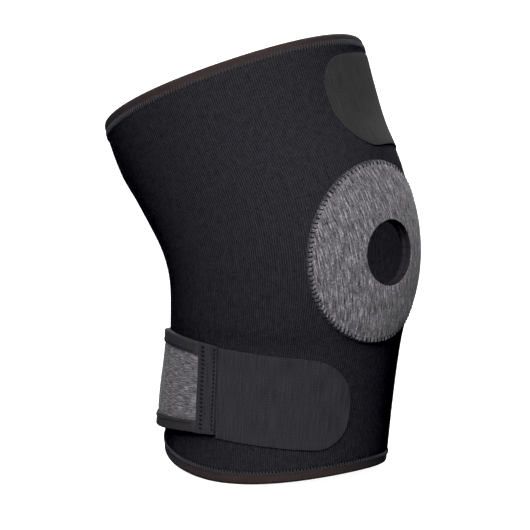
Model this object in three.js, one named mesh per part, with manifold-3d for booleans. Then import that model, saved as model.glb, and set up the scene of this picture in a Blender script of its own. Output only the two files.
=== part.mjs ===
// Knee support with an open kneecap: a neoprene sleeve in the shape it has on a slightly bent knee,
// taped rims, a ring pad round the kneecap opening, and two straps that close with hook tabs.
// Millimetres, +Z up. The knee faces -Y, and the origin is the middle of the leg at kneecap level.

import * as THREE from "three";
import Module from "manifold-3d";

// Leg axis: stations are lengths along it, 0 at the kneecap and rising towards the thigh.
const THIGH_LEAN = 23.5; // degrees backwards from upright
const SHIN_LEAN = -3.5;
const BEND_FROM = -36; // stations between which the axis turns
const BEND_TO = 44;

// Distance from the axis to the sleeve's outer face, at the front, the back and either side.
const SECTIONS = [
  { station: -120, front: 63.5, back: 70.5, side: 60 },
  { station: -80, front: 66, back: 69.5, side: 61.5 },
  { station: -56, front: 68.5, back: 67, side: 62 },
  { station: -36, front: 71.5, back: 67, side: 63 },
  { station: 0, front: 82, back: 66, side: 66.5 },
  { station: 30, front: 82.5, back: 69.5, side: 68.5 },
  { station: 57, front: 77.5, back: 77, side: 70.5 },
  { station: 76, front: 77, back: 83.5, side: 72 },
  { station: 116, front: 79, back: 85, side: 74.5 },
];

// Clear space between touching pieces.
const GAP = 0.35;

// Neoprene tube. The upper rim is highest at an angle of its own and opposite it.
// The lower rim dips at the sides, a little less towards +X.
const SLEEVE = { top: 105.2, bottom: -110, wall: 3.5, columns: 48, rows: 20 };
const UPPER_RIM = { dip: 3.5, highAt: THREE.MathUtils.degToRad(36) };
const LOWER_RIM = { dip: 8, tilt: 1.2 };

// Tape folded over each rim.
const RIM_TAPE = { thick: 0.9, leg: 5.2, bevel: 0.6 };

// Kneecap opening and the ring pad round it, centred off the front line of the leg.
const KNEECAP = { around: -1.5, along: -1, hole: 17.2, tall: 1.04, sides: 48 };
const RING = { radius: 50, thick: 2.6, round: 1.2, steps: 4 };

// Lower strap: stations of its edges, and lengths round the leg from the front line, negative towards -X.
// Its flare is its height at the lower edge for each mm of its height at the upper one.
const LOWER = { high: -43, low: -94.5, tip: -14, jointFront: -92.5, jointBack: -105, sewnEnd: -295 };
const LOWER_FLARE = { front: 1.35, back: 1.75, from: -105, to: -165 };
const PANEL = { boundBase: 1.2, boundFace: 2.3, face: 2.8, columns: 28, rows: 3 };
const STRAP_TAPE = { thick: 0.5, leg: 6.5, bevel: 0.4 };
const JOINT = { backFace: 3, frontFace: 2, bevel: 0.5, columns: 4, rows: 4 };
const LOWER_TAB = {
  highRound: 27, lowRound: 19, tall: 1, thick: 1.5, rows: 4, roundColumns: 8, straightColumns: 7,
};
const LOWER_DROOP = { fall: 2.4, length: 85 }; // how far the tab's tip hangs below the line of its strap

// Behind its tab the lower strap's edges leave the tab's lines.
// Each row lifts one edge, between two lengths round the leg.
const EDGE_LIFTS = [
  { edge: "high", rise: 1.7, from: -75, to: -120 },
  { edge: "high", rise: -4.8, from: -138, to: -178 },
  { edge: "low", rise: 2.1, from: -75, to: -92 },
  { edge: "low", rise: -9, from: -85, to: -175 },
];

// Upper strap: a tab on the front of the thigh that runs round the far side to its seam at the back.
const UPPER = { high: 96, low: 40.5, tip: -14, sewnEnd: 205 };
const UPPER_TAB = {
  highRound: 18, lowRound: 24, tall: 1.2, thick: 1.5, rows: 7, roundColumns: 7, straightColumns: 22,
};
const UPPER_DROOP = { fall: 4, length: 60 };

// Steps used to measure lengths on the curved surface.
const AXIS_STEPS = 40;
const ANGLE_STEP = THREE.MathUtils.degToRad(1);
const STATION_STEP = 1;
const NORMAL_STEP = 0.01;

const FULL_TURN = 2 * Math.PI;
const { degToRad, lerp, smoothstep } = THREE.MathUtils;

const wasm = await Module();
wasm.setup();

const sectionSizes = new THREE.CubicInterpolant(
  SECTIONS.map((section) => section.station),
  SECTIONS.flatMap(({ front, back, side }) => [front, back, side]),
  3,
);

function leanAt(station) {
  return degToRad(lerp(SHIN_LEAN, THIGH_LEAN, smoothstep(station, BEND_FROM, BEND_TO)));
}

function axisAt(station) {
  const step = station / AXIS_STEPS;
  const point = new THREE.Vector3();
  for (let i = 0; i < AXIS_STEPS; i += 1) {
    const lean = leanAt((i + 0.5) * step);
    point.y += step * Math.sin(lean);
    point.z += step * Math.cos(lean);
  }
  return point;
}

// Outer face of the sleeve. The angle is 0 on the front line and positive towards +X.
function faceAt(angle, station) {
  const [front, back, side] = sectionSizes.evaluate(station);
  const forward = Math.cos(angle) * (Math.cos(angle) > 0 ? front : back);
  const lean = leanAt(station);
  const sideways = side * Math.sin(angle);
  const offset = new THREE.Vector3(sideways, -forward * Math.cos(lean), forward * Math.sin(lean));
  return axisAt(station).add(offset);
}

// Point at a height above that face, or below it where the height is negative.
function liftedAt(angle, station, height) {
  const round = faceAt(angle + NORMAL_STEP, station).sub(faceAt(angle - NORMAL_STEP, station));
  const along = faceAt(angle, station + NORMAL_STEP).sub(faceAt(angle, station - NORMAL_STEP));
  const normal = round.cross(along).normalize();
  return faceAt(angle, station).addScaledVector(normal, height);
}

// Value at which a path, followed from 0 in small steps, has run the given length.
function paceOut(length, size, pathAt) {
  const step = length < 0 ? -size : size;
  let value = 0;
  let left = Math.abs(length);
  for (;;) {
    const span = pathAt(value).distanceTo(pathAt(value + step));
    if (span >= left) {
      return value + (step * left) / span;
    }
    left -= span;
    value += step;
  }
}

function angleAt(around, station) {
  return paceOut(around, ANGLE_STEP, (angle) => faceAt(angle, station));
}

// Point given by lengths round and along the front of the knee from the middle of the kneecap opening.
// The opening and its ring are a little taller than round.
function kneecapAt(across, up, height) {
  const station = paceOut(KNEECAP.along + KNEECAP.tall * up, STATION_STEP, (value) => faceAt(0, value));
  return liftedAt(angleAt(KNEECAP.around + across, station), station, height);
}

// How far a change along the lower strap, between two lengths round the leg, is done at an angle.
function doneAt(angle, { from, to }) {
  const [start, end] = strapAngles(LOWER, [from, to]);
  return smoothstep(-angle, -start, -end);
}

function edgeLift(edge, angle) {
  const lifts = EDGE_LIFTS.filter((row) => row.edge === edge);
  return lifts.reduce((total, row) => total + row.rise * doneAt(angle, row), 0);
}

// Point of the lower strap behind its tab, where it presses closest on the leg along its upper edge.
function strapPoint(angle, station, height) {
  const share = (station - LOWER.low) / (LOWER.high - LOWER.low);
  const lift = lerp(edgeLift("low", angle), edgeLift("high", angle), share);
  const flare = lerp(LOWER_FLARE.front, LOWER_FLARE.back, doneAt(angle, LOWER_FLARE));
  return liftedAt(angle, station + lift, GAP + (height - GAP) * lerp(flare, 1, share));
}

// Closed body through a row of flat outlines, each a counterclockwise list of as many [x, y] points.
// placeAt sets a point of outline i in space. A ring joins its last outline to its first, without end faces.
function loft(outlines, isRing, placeAt) {
  const sides = outlines[0].length;
  const points = outlines.flatMap((outline, i) => outline.map(([x, y]) => placeAt(i, x, y)));
  const triangles = [];
  const spans = isRing ? outlines.length : outlines.length - 1;
  for (let i = 0; i < spans; i += 1) {
    const here = i * sides;
    const there = ((i + 1) % outlines.length) * sides;
    for (let j = 0; j < sides; j += 1) {
      const next = (j + 1) % sides;
      triangles.push(here + j, here + next, there + next);
      triangles.push(here + j, there + next, there + j);
    }
  }
  if (!isRing) {
    const last = spans * sides;
    endFaces(outlines[0]).forEach(([a, b, c]) => triangles.push(a, c, b));
    endFaces(outlines[spans]).forEach(([a, b, c]) => triangles.push(last + a, last + b, last + c));
  }
  const geometry = new THREE.BufferGeometry().setFromPoints(points);
  return geometry.setIndex(triangles);
}

function endFaces(outline) {
  return THREE.ShapeUtils.triangulateShape(outline.map(([x, y]) => new THREE.Vector2(x, y)), []);
}

function listOf(count, make) {
  return Array.from({ length: count }, (_, i) => make(i));
}

// Evenly spaced values from one end to the other, both included.
function spread(from, to, count) {
  return listOf(count, (i) => lerp(from, to, i / (count - 1)));
}

function subtract(geometry, cutter) {
  const cut = toSolid(geometry).subtract(toSolid(cutter)).getMesh();
  const result = new THREE.BufferGeometry();
  result.setAttribute("position", new THREE.BufferAttribute(cut.vertProperties, cut.numProp));
  return result.setIndex(new THREE.BufferAttribute(cut.triVerts, 1));
}

function toSolid(geometry) {
  const vertProperties = geometry.getAttribute("position").array;
  const triVerts = Uint32Array.from(geometry.index.array);
  return new wasm.Manifold(new wasm.Mesh({ numProp: 3, vertProperties, triVerts }));
}

function upperRimAt(angle) {
  return SLEEVE.top - UPPER_RIM.dip * Math.sin(angle - UPPER_RIM.highAt) ** 2;
}

function lowerRimAt(angle) {
  return SLEEVE.bottom - LOWER_RIM.dip * Math.sin(angle) ** 2 + LOWER_RIM.tilt * Math.sin(angle);
}

function sleeve() {
  const rising = spread(0, 1, SLEEVE.rows + 1);
  const inner = rising.map((share) => [share, -SLEEVE.wall]);
  const outer = rising.toReversed().map((share) => [share, 0]);
  const outlines = listOf(SLEEVE.columns, () => [...inner, ...outer]);
  const tube = loft(outlines, true, (i, share, height) => {
    const angle = (FULL_TURN * i) / SLEEVE.columns;
    return liftedAt(angle, lerp(lowerRimAt(angle), upperRimAt(angle), share), height);
  });
  return subtract(tube, kneecapPlug());
}

// Plug in the shape of the kneecap opening, longer than the wall is thick.
function kneecapPlug() {
  const reach = 3 * SLEEVE.wall;
  const circle = listOf(KNEECAP.sides, (i) => {
    const turn = (FULL_TURN * i) / KNEECAP.sides;
    return [KNEECAP.hole * Math.cos(turn), KNEECAP.hole * Math.sin(turn)];
  });
  const heights = [-reach, reach];
  return loft([circle, circle], false, (i, across, up) => kneecapAt(across, up, heights[i]));
}

// U-shaped outline of a tape folded over an edge: x is 0 inside the fold, and y runs from leg to leg.
function foldedTape({ thick, leg, bevel }, low, high) {
  const outerLow = low - thick;
  const outerHigh = high + thick;
  return [
    [-leg, outerLow],
    [thick - bevel, outerLow],
    [thick, outerLow + bevel],
    [thick, outerHigh - bevel],
    [thick - bevel, outerHigh],
    [-leg, outerHigh],
    [-leg, high],
    [0, high],
    [0, low],
    [-leg, low],
  ];
}

// The tape goes round with the angle on the upper rim and against it on the lower one, so both face out.
function rimTape(rimAt, direction) {
  const outline = foldedTape(RIM_TAPE, -SLEEVE.wall - GAP, GAP);
  const outlines = listOf(SLEEVE.columns, () => outline);
  return loft(outlines, true, (i, rise, height) => {
    const angle = (direction * FULL_TURN * i) / SLEEVE.columns;
    return liftedAt(angle, rimAt(angle) + direction * (GAP + rise), height);
  });
}

// Ring pad with a rounded outer edge, laid out as radii and heights and turned clockwise.
function patellaRing() {
  const face = GAP + RING.thick;
  const radii = spread(KNEECAP.hole, RING.radius, RING.steps + 1);
  const under = radii.map((radius) => [radius, GAP]);
  const over = radii.slice(0, -1).toReversed().map((radius) => [radius, face]);
  const edge = [
    [RING.radius, face - RING.round],
    [RING.radius - RING.round, face],
  ];
  const outlines = listOf(KNEECAP.sides, () => [...under, ...edge, ...over]);
  return loft(outlines, true, (i, radius, height) => {
    const turn = (-FULL_TURN * i) / KNEECAP.sides;
    return kneecapAt(radius * Math.cos(turn), radius * Math.sin(turn), height);
  });
}

// Angles of a row of lengths round the leg, measured along the middle of a strap.
function strapAngles(strap, arounds) {
  return arounds.map((around) => angleAt(around, (strap.high + strap.low) / 2));
}

function panelAngles() {
  return strapAngles(LOWER, spread(LOWER.sewnEnd, LOWER.jointBack - GAP, PANEL.columns));
}

// Loop panel: full thickness in the middle, thinner where the tapes hold its two long edges.
function strapPanel() {
  const edge = STRAP_TAPE.thick + GAP;
  const step = edge + STRAP_TAPE.leg;
  const rising = spread(LOWER.low + step, LOWER.high - step, PANEL.rows + 1);
  const outline = [
    [LOWER.low + edge, PANEL.boundBase],
    [LOWER.low + step, PANEL.boundBase],
    ...rising.map((station) => [station, GAP]),
    [LOWER.high - step, PANEL.boundBase],
    [LOWER.high - edge, PANEL.boundBase],
    [LOWER.high - edge, PANEL.boundFace],
    [LOWER.high - step, PANEL.boundFace],
    ...rising.toReversed().map((station) => [station, PANEL.face]),
    [LOWER.low + step, PANEL.boundFace],
    [LOWER.low + edge, PANEL.boundFace],
  ];
  const angles = panelAngles();
  const outlines = angles.map(() => outline);
  return loft(outlines, false, (i, station, height) => strapPoint(angles[i], station, height));
}

function strapTape(edge, direction) {
  const outline = foldedTape(STRAP_TAPE, PANEL.boundBase - GAP, PANEL.boundFace + GAP);
  const angles = direction > 0 ? panelAngles() : panelAngles().toReversed();
  const outlines = angles.map(() => outline);
  return loft(outlines, false, (i, rise, height) => {
    return strapPoint(angles[i], edge + direction * (rise - STRAP_TAPE.thick), height);
  });
}

// Sewn joint between the panel and its tab: a wedge that falls from the panel's face to the tab's.
function strapJoint() {
  const angles = strapAngles(LOWER, spread(LOWER.jointBack, LOWER.jointFront, JOINT.columns));
  const faces = spread(JOINT.backFace, JOINT.frontFace, JOINT.columns);
  const under = spread(LOWER.low, LOWER.high, JOINT.rows + 1);
  const over = spread(LOWER.high - JOINT.bevel, LOWER.low + JOINT.bevel, JOINT.rows + 1);
  const outlines = faces.map((face) => [
    ...under.map((station) => [station, GAP]),
    [LOWER.high, face - JOINT.bevel],
    ...over.map((station) => [station, face]),
    [LOWER.low, face - JOINT.bevel],
  ]);
  return loft(outlines, false, (i, station, height) => strapPoint(angles[i], station, height));
}

// Distances from the tip of a tab at which it is drawn: close together where its corners are round.
function tabColumns(tab, length) {
  const round = Math.max(tab.highRound, tab.lowRound);
  const turns = listOf(tab.roundColumns, (i) => (Math.PI / 2) * (i / tab.roundColumns));
  const corner = turns.map((turn) => round * (1 - Math.cos(turn)));
  return [...corner, ...spread(round, length, tab.straightColumns)];
}

// How far a round corner draws the edge in at a distance from the tip.
function cornerInset(radius, distance) {
  const left = Math.max(radius - distance, 0);
  return radius - Math.sqrt(radius ** 2 - left ** 2);
}

// Flat tab with two round corners at its tip, which may be taller than long.
// It runs from the tip round the leg, one way or the other.
function strapTab(strap, tab, droop, root) {
  const direction = Math.sign(root - strap.tip);
  const columns = tabColumns(tab, Math.abs(root - strap.tip));
  const distances = direction > 0 ? columns : columns.toReversed();
  const angles = strapAngles(strap, distances.map((distance) => strap.tip + direction * distance));
  const rising = spread(0, 1, tab.rows + 1);
  const outlines = distances.map((distance) => {
    const fall = droop.fall * (1 - smoothstep(distance, 0, droop.length));
    const low = strap.low + tab.tall * cornerInset(tab.lowRound, distance) - fall;
    const high = strap.high - tab.tall * cornerInset(tab.highRound, distance) - fall;
    const under = rising.map((share) => [lerp(low, high, share), GAP]);
    const over = rising.toReversed().map((share) => [lerp(low, high, share), GAP + tab.thick]);
    return [...under, ...over];
  });
  return loft(outlines, false, (i, station, height) => liftedAt(angles[i], station, height));
}

const FINISHES = {
  neoprene: new THREE.MeshStandardMaterial({ color: 0x1d1c20, roughness: 0.95, metalness: 0 }),
  rimTape: new THREE.MeshStandardMaterial({ color: 0x3a3334, roughness: 0.9, metalness: 0 }),
  heather: new THREE.MeshStandardMaterial({ color: 0x77767a, roughness: 0.95, metalness: 0 }),
  hookTab: new THREE.MeshStandardMaterial({ color: 0x333335, roughness: 0.85, metalness: 0 }),
  strapTape: new THREE.MeshStandardMaterial({ color: 0x2a2728, roughness: 0.9, metalness: 0 }),
};

const kneeSupport = new THREE.Group();

function addPiece(name, geometry, finish) {
  geometry.computeVertexNormals();
  const mesh = new THREE.Mesh(geometry, FINISHES[finish]);
  mesh.name = name;
  kneeSupport.add(mesh);
}

addPiece("sleeve", sleeve(), "neoprene");
addPiece("top_binding", rimTape(upperRimAt, 1), "rimTape");
addPiece("bottom_binding", rimTape(lowerRimAt, -1), "rimTape");
addPiece("patella_ring", patellaRing(), "heather");
addPiece("strap_panel", strapPanel(), "heather");
addPiece("strap_binding_top", strapTape(LOWER.high, 1), "strapTape");
addPiece("strap_binding_bottom", strapTape(LOWER.low, -1), "strapTape");
addPiece("strap_joint", strapJoint(), "strapTape");
addPiece("hook_tab", strapTab(LOWER, LOWER_TAB, LOWER_DROOP, LOWER.jointFront + GAP), "hookTab");
addPiece("upper_tab", strapTab(UPPER, UPPER_TAB, UPPER_DROOP, UPPER.sewnEnd), "hookTab");

export default kneeSupport;
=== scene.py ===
# Looks of the knee support: its cloth, pads, tapes and threads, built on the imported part.
# Shapes are worked out in millimetres, as in the part's own source, and the meshes are made in metres.
import math

import bpy
import numpy as np
from mathutils import Matrix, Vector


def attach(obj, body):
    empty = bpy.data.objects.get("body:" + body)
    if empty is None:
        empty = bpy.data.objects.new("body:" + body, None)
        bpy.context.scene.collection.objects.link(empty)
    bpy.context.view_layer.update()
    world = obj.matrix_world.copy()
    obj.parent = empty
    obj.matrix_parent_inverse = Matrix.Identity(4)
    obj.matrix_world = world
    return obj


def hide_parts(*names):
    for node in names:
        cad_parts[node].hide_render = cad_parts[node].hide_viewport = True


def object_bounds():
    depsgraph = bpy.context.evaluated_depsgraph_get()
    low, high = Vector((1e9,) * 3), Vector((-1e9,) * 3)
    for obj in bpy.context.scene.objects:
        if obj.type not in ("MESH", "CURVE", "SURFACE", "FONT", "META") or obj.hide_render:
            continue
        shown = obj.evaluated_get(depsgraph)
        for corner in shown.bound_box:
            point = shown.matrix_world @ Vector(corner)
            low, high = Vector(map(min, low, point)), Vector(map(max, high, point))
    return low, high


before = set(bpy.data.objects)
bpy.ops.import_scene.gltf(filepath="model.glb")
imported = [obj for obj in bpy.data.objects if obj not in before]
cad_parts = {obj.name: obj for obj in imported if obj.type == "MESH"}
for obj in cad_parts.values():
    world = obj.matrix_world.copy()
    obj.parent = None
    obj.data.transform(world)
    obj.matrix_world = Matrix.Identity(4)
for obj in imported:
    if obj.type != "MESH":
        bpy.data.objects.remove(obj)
CAD_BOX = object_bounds()

MM = 0.001
BODY = "root"

# Leg axis: stations are lengths along it, 0 at the kneecap and rising towards the thigh.
# Leans are in degrees.
THIGH_LEAN = 23.5
SHIN_LEAN = -3.5
BEND_FROM = -36
BEND_TO = 44
AXIS_STEPS = 40

# Distance from the axis to the sleeve's outer face: station, front, back, side.
SECTIONS = np.array([
    (-120, 63.5, 70.5, 60),
    (-80, 66, 69.5, 61.5),
    (-56, 68.5, 67, 62),
    (-36, 71.5, 67, 63),
    (0, 82, 66, 66.5),
    (30, 82.5, 69.5, 68.5),
    (57, 77.5, 77, 70.5),
    (76, 77, 83.5, 72),
    (116, 79, 85, 74.5),
])
STATIONS = SECTIONS[:, 0]

# How far the way round the leg is worked out on each side of its front line, in degrees and in millimetres.
TURN_REACH = 300
TURN_STEP = 0.5
AROUND_REACH = 340

# Sleeve and its rims.
SLEEVE = {"top": 105.2, "bottom": -110, "wall": 3.5}
SLEEVE_COLUMNS = 224
SLEEVE_ROWS = 108
RIB_COUNT = 338
OUTER, INNER = range(2)
UPPER_RIM = {"dip": 3.5, "high_at": math.radians(36)}
LOWER_RIM = {"dip": 8, "tilt": 1.2}

# Tape folded over the rims. It presses the sleeve's face in, and a press fades out beside it.
RIM_TAPE = {
    "thick": 0.9, "leg": 5.2, "back_leg": 6.8, "roll": 2.0,
    "lip": 0.4, "side": 1.2, "press": 1.3, "press_fade": 0.3,
}
RIM_COLUMNS = 240
RIM_ROWS = 5

# Stitches over the edge of a rim tape, which climb from the sleeve onto the tape between two places.
RIM_STITCH = {"pitch": 1.9, "below": 1.4, "thread": 0.42, "slant": 0.45, "climb_from": -0.3, "climb_to": 0.2}

# Course of a stitch: share of its length, and height over the cloth in thread radii.
RIM_STITCH_COURSE = np.array([(0, -0.6), (0.25, 0.6), (0.5, 0.6), (0.75, 0.6), (1, -0.6)])
SEAM_STITCH_COURSE = np.array([(0, -0.8), (0.12, 0.5), (0.5, 0.7), (0.88, 0.5), (1, -0.8)])
THREAD_SIDES = 6
THREAD_TAPER = 0.45

# Kneecap opening and its ring pad, centred off the front line of the leg.
KNEECAP = {"around": -1.5, "along": -1, "hole": 17.2, "tall": 1.04}
RING = {
    "radius": 50, "thick": 2.6, "seat": 0.05, "crown": 1.0, "crown_reach": 10,
    "round": 1.2, "lip": 0.6, "under_inset": 1,
}
RING_STEPS = {"under": 7, "round": 6, "sewn": 12, "face": 16, "lip": 5, "lip_foam": 2, "wall": 5, "stitch": 8}

# Overcasting round the ring pad's edge, its needle holes and the thread that it holds against the edge.
OVERCAST = {
    "count": 110, "inward": 2.6, "outward": 0.8, "uneven": 0.3, "slant_least": 0.1, "slant_most": 0.4,
    "thread": 0.36, "over": 0.7, "dip": 2, "scallop": 0.3, "seed": 7,
}
OVERCAST_SHARES = np.array([0, 0.1, 0.35, 0.6, 0.8, 0.92, 1.0])
NEEDLE_HOLE = {"depth": 0.8, "width": 0.7, "crease": 0.28}
RING_CORD = {"outside": 0.25, "height": 0.15, "thread": 0.35, "sides": 8, "side": 0.3}
RING_COLUMNS = RING_STEPS["stitch"] * OVERCAST["count"]

# Lower strap, with lengths round the leg from the front line, negative towards -X.
LOWER = {"high": -43, "low": -94.5, "tip": -14, "joint_front": -92.5, "joint_back": -105, "sewn_end": -295}
LOWER_TAB = {"high_round": 27, "low_round": 19, "tall": 1, "fall": 2.4, "fall_length": 85}
LOWER_FLARE = {"front": 1.35, "back": 1.75, "from": -105, "to": -165}

# Behind its tab the strap's edges leave the tab's lines.
# Each row has an edge, its rise, and the lengths round the leg between which it comes.
EDGE_LIFTS = (
    ("high", 1.7, -75, -120),
    ("high", -4.8, -138, -178),
    ("low", 2.1, -75, -92),
    ("low", -9, -85, -175),
)

# The strap draws the sleeve's face in along its upper edge.
STRAP_PRESS = {
    "depth": 1.6, "above": 14, "under": 10, "edge": 1,
    "from": -128, "to": -50, "fade": math.radians(16),
}

# Loop panel, the tape folded over its long edges, and the band that joins it to its tab.
PANEL = {"bound_base": 1.2, "bound_face": 2.3, "face": 2.8, "end_margin": 8}
PANEL_SWELL = {"from": -1.5, "to": 2.5}
STRAP_TAPE = {"thick": 0.5, "leg": 6.5, "roll": 0.9, "lip": 0.22, "side": 1.0}
JOINT = {"back_face": 3, "front_face": 2}

# Seams, and the rows of stitches down the joint band.
SEAM = {"pitch": 3.2, "stitch": 2.3, "margin": 1.6, "end_rows": 2, "row_gap": 6, "thread": 0.28}
JOINT_PITCH = 2.45
JOINT_STITCHES = {
    "strap_joint_zigzag": {"around": -101.3, "reach_round": 2, "reach_up": -0.5, "thread": 0.38},
    "strap_joint_backstitch": {"around": -93.8, "reach_round": 0.2, "reach_up": 0.9, "thread": 0.4},
}

# Upper strap.
UPPER = {"high": 96, "low": 40.5, "tip": -14, "sewn_end": 205}
UPPER_TAB = {"high_round": 18, "low_round": 24, "tall": 1.2, "fall": 4, "fall_length": 60}

# Gaps between pieces, the tabs' cloth and how fine the straps' meshes are.
GAP = 0.35
TAB_GAP = 0.1
TAB_THICK = 0.75
EDGE_BEVEL = {"width": 0.3, "segments": 3, "sharper_than": math.radians(40)}
TAB_GRID = {"rows": 18, "tip_columns": 25, "column_step": 3}
PANEL_GRID = {"rows": 40, "columns": 80}
JOINT_GRID = {"rows": 30, "columns": 12}
STRAP_EDGE_COLUMNS = 90

# Order of materials on the sleeve and the ring pad: the second cloth is the sleeve's lining, and on the ring
# pad a darker copy of the heather on its rounded outer edge, which is painted shade.
FACE_CLOTH, CUT_FOAM, SECOND_CLOTH = range(3)

# Strands of the two heather cloths: width, length, turn in degrees, and how matt they are.
PAD_STRANDS = {"width": 0.75, "length": 8, "turn": -11, "matt": 0.45}
LOOP_STRANDS = {"width": 0.55, "length": 6, "turn": 87, "matt": 0.2}

# Pitch of the tapes' ribs, and of the wave texture's bands at a scale of 1.
TAPE_RIB = 0.9
WAVE_PITCH = math.pi / 10

# Camera, as the photograph's view was found to be.
CAMERA_AZIMUTH = -46.5
CAMERA_ELEVATION = 7.0
CAMERA_DISTANCE = 1680
CAMERA_SIDEWAYS = -10.6
CAMERA_RISE = -3.5
MM_PER_PIXEL = 0.57
IMAGE_PIXELS = 530
SENSOR_MM = 36

# Suns: name, degrees to the camera's right and above it, strength, and degrees across.
SUNS = (
    ("key", -3, 32, 4.0, 45),
    ("fill", -15, -20, 0.75, 60),
    ("back_left", -172, 28, 3, 15),
    ("back_right", 166, 28, 3, 15),
    ("back_fill", 180, -20, 0.8, 40),
)
SKY = {"below": 0.02, "above": 0.1}
INNER_GLOW = {"power": 0.05, "radius": 0.03}
BLACK_LEVEL = 0.0085

# Stage: distance out from the part and height over the floor, in metres.
STAGE_PROFILE = ((6.0, 0.0), (7.4, 0.6), (8.0, 2.0), (8.0, 8.0))
STAGE = {"sides": 64, "colour": (0.5, 0.5, 0.5, 1), "glow": 0.93}


# The leg's surface


def smoothstep(value, low, high):
    share = np.clip((np.asarray(value) - low) / (high - low), 0, 1)
    return share * share * (3 - 2 * share)


def lean_at(station):
    return np.radians(SHIN_LEAN + (THIGH_LEAN - SHIN_LEAN) * smoothstep(station, BEND_FROM, BEND_TO))


def axis_at(station):
    """How far the axis lies back and up at each station."""
    shares = (np.arange(AXIS_STEPS) + 0.5) / AXIS_STEPS
    lean = lean_at(station[..., None] * shares)
    step = station / AXIS_STEPS
    return step * np.sin(lean).sum(-1), step * np.cos(lean).sum(-1)


def sizes_at(station):
    """Front, back and side distances, on a cubic with the mean of the neighbouring slopes at each section."""
    secants = np.diff(SECTIONS[:, 1:], axis=0) / np.diff(STATIONS)[:, None]
    slopes = np.concatenate([secants[:1], (secants[1:] + secants[:-1]) / 2, secants[-1:]])
    k = np.clip(np.searchsorted(STATIONS, station, "right") - 1, 0, len(STATIONS) - 2)
    span = (STATIONS[k + 1] - STATIONS[k])[..., None]
    t = np.clip((station[..., None] - STATIONS[k][..., None]) / span, 0, 1)
    start, end = SECTIONS[k, 1:], SECTIONS[k + 1, 1:]
    bend_start = slopes[k] * span - (end - start)
    bend_end = (end - start) - slopes[k + 1] * span
    return start + t * (end - start) + t * (1 - t) * ((1 - t) * bend_start + t * bend_end)


def matched(first, second):
    return np.broadcast_arrays(np.asarray(first, float), np.asarray(second, float))


def face_at(angle, station):
    """Outer face of the sleeve. The angle is 0 on the front line and positive towards +X."""
    angle, station = matched(angle, station)
    front, back, side = np.moveaxis(sizes_at(station), -1, 0)
    forward = np.cos(angle) * np.where(np.cos(angle) > 0, front, back)
    lean = lean_at(station)
    setback, rise = axis_at(station)
    return np.stack([
        side * np.sin(angle),
        setback - forward * np.cos(lean),
        rise + forward * np.sin(lean),
    ], -1)


def unit(vectors):
    return vectors / np.linalg.norm(vectors, axis=-1, keepdims=True)


def normal_at(angle, station, step=0.01):
    angle, station = matched(angle, station)
    round_leg = face_at(angle + step, station) - face_at(angle - step, station)
    up_leg = face_at(angle, station + step) - face_at(angle, station - step)
    return unit(np.cross(round_leg, up_leg))


def lifted_at(angle, station, height):
    """Point at a height above the sleeve's face, or below it where the height is negative."""
    return face_at(angle, station) + np.asarray(height, float)[..., None] * normal_at(angle, station)


def running_length(path):
    steps = np.linalg.norm(np.diff(path, axis=0), axis=-1)
    return np.concatenate([[0], np.cumsum(steps)])


# Lengths round the leg are looked up in tables with a row for each millimetre of station.
ARC_STATIONS = np.arange(STATIONS[0], STATIONS[-1] + 1)
ARC_TURNS = np.radians(np.arange(-TURN_REACH, TURN_REACH + TURN_STEP, TURN_STEP))
ARC_TABLE = np.array([running_length(face_at(ARC_TURNS, station)) for station in ARC_STATIONS])
ARC_TABLE -= ARC_TABLE[:, [len(ARC_TURNS) // 2]]
AROUNDS = np.arange(-AROUND_REACH, AROUND_REACH + 1.0)
ANGLE_TABLE = np.array([np.interp(AROUNDS, row, ARC_TURNS) for row in ARC_TABLE])
FRONT_LENGTHS = running_length(face_at(0, ARC_STATIONS))
FRONT_LENGTHS -= np.interp(0, ARC_STATIONS, FRONT_LENGTHS)


def look_up(table, row, column):
    """Value of a table between its rows and columns."""
    i = np.clip(np.floor(row).astype(int), 0, table.shape[0] - 2)
    j = np.clip(np.floor(column).astype(int), 0, table.shape[1] - 2)
    down, right = row - i, column - j
    upper = table[i, j] * (1 - right) + table[i, j + 1] * right
    lower = table[i + 1, j] * (1 - right) + table[i + 1, j + 1] * right
    return upper * (1 - down) + lower * down


def angle_at(around, station):
    """Angle at which the way round the leg from its front line has the given length."""
    around, station = matched(around, station)
    return look_up(ANGLE_TABLE, station - ARC_STATIONS[0], around - AROUNDS[0])


def around_at(angle, station):
    """Length of the way round the leg from its front line to an angle."""
    angle, station = matched(angle, station)
    turn_step = ARC_TURNS[1] - ARC_TURNS[0]
    return look_up(ARC_TABLE, station - ARC_STATIONS[0], (angle - ARC_TURNS[0]) / turn_step)


def girth_at(station):
    return 2 * float(around_at(np.pi, station))


GIRTH = girth_at(0)


def kneecap_spot(across, up):
    """Angle and station of a place given by lengths from the middle of the kneecap opening."""
    station = np.interp(KNEECAP["along"] + KNEECAP["tall"] * np.asarray(up), FRONT_LENGTHS, ARC_STATIONS)
    return angle_at(KNEECAP["around"] + across, station), station


def kneecap_offsets(angle, station):
    """Lengths across and up from the middle of the kneecap opening."""
    up = (np.interp(station, ARC_STATIONS, FRONT_LENGTHS) - KNEECAP["along"]) / KNEECAP["tall"]
    return around_at(angle, station) - KNEECAP["around"], up


def strap_angles(strap, arounds):
    """Angles of lengths round the leg that are measured along the middle of a strap."""
    return angle_at(arounds, (strap["high"] + strap["low"]) / 2)


def done_at(angle, since, until):
    """How far a change along the lower strap, between two lengths round the leg, is done at an angle."""
    start, end = strap_angles(LOWER, np.array([since, until]))
    return smoothstep(-angle, -start, -end)


def edge_lift(edge, angle):
    return sum(rise * done_at(angle, since, until) for name, rise, since, until in EDGE_LIFTS if name == edge)


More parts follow.
